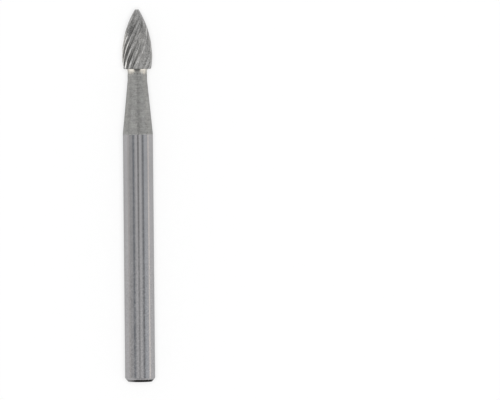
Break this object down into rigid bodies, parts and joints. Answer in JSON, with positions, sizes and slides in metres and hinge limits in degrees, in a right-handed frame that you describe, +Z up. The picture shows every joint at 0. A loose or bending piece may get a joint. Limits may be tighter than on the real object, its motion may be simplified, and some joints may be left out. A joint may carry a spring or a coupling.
{
  "type": "brazed carbide burr",
  "caption": "Pointed tree-shaped carbide burr: a helically fluted head brazed to a necked steel shank with a chamfered end.",
  "frame": {"origin": "the middle of the lying burr's length, on the surface that it lies on", "axes": "+Y along the burr's axis from the shank's end to the tip, +Z up"},
  "size_m": [0.003, 0.037, 0.003],
  "materials": {
    "ground_carbide": "sintered tungsten carbide, ground grey, with fine grinding lines along the flutes",
    "silver_braze": "bright silver braze, warm white, slightly rippled",
    "ground_steel": "hardened steel, fine-ground and bright on the shank, matt with turning lines on the neck"
  },
  "bodies": {
    "root": {"carbide_head": "ground_carbide", "braze_joint": "silver_braze", "shank": "ground_steel"}
  },
  "joints": []
}
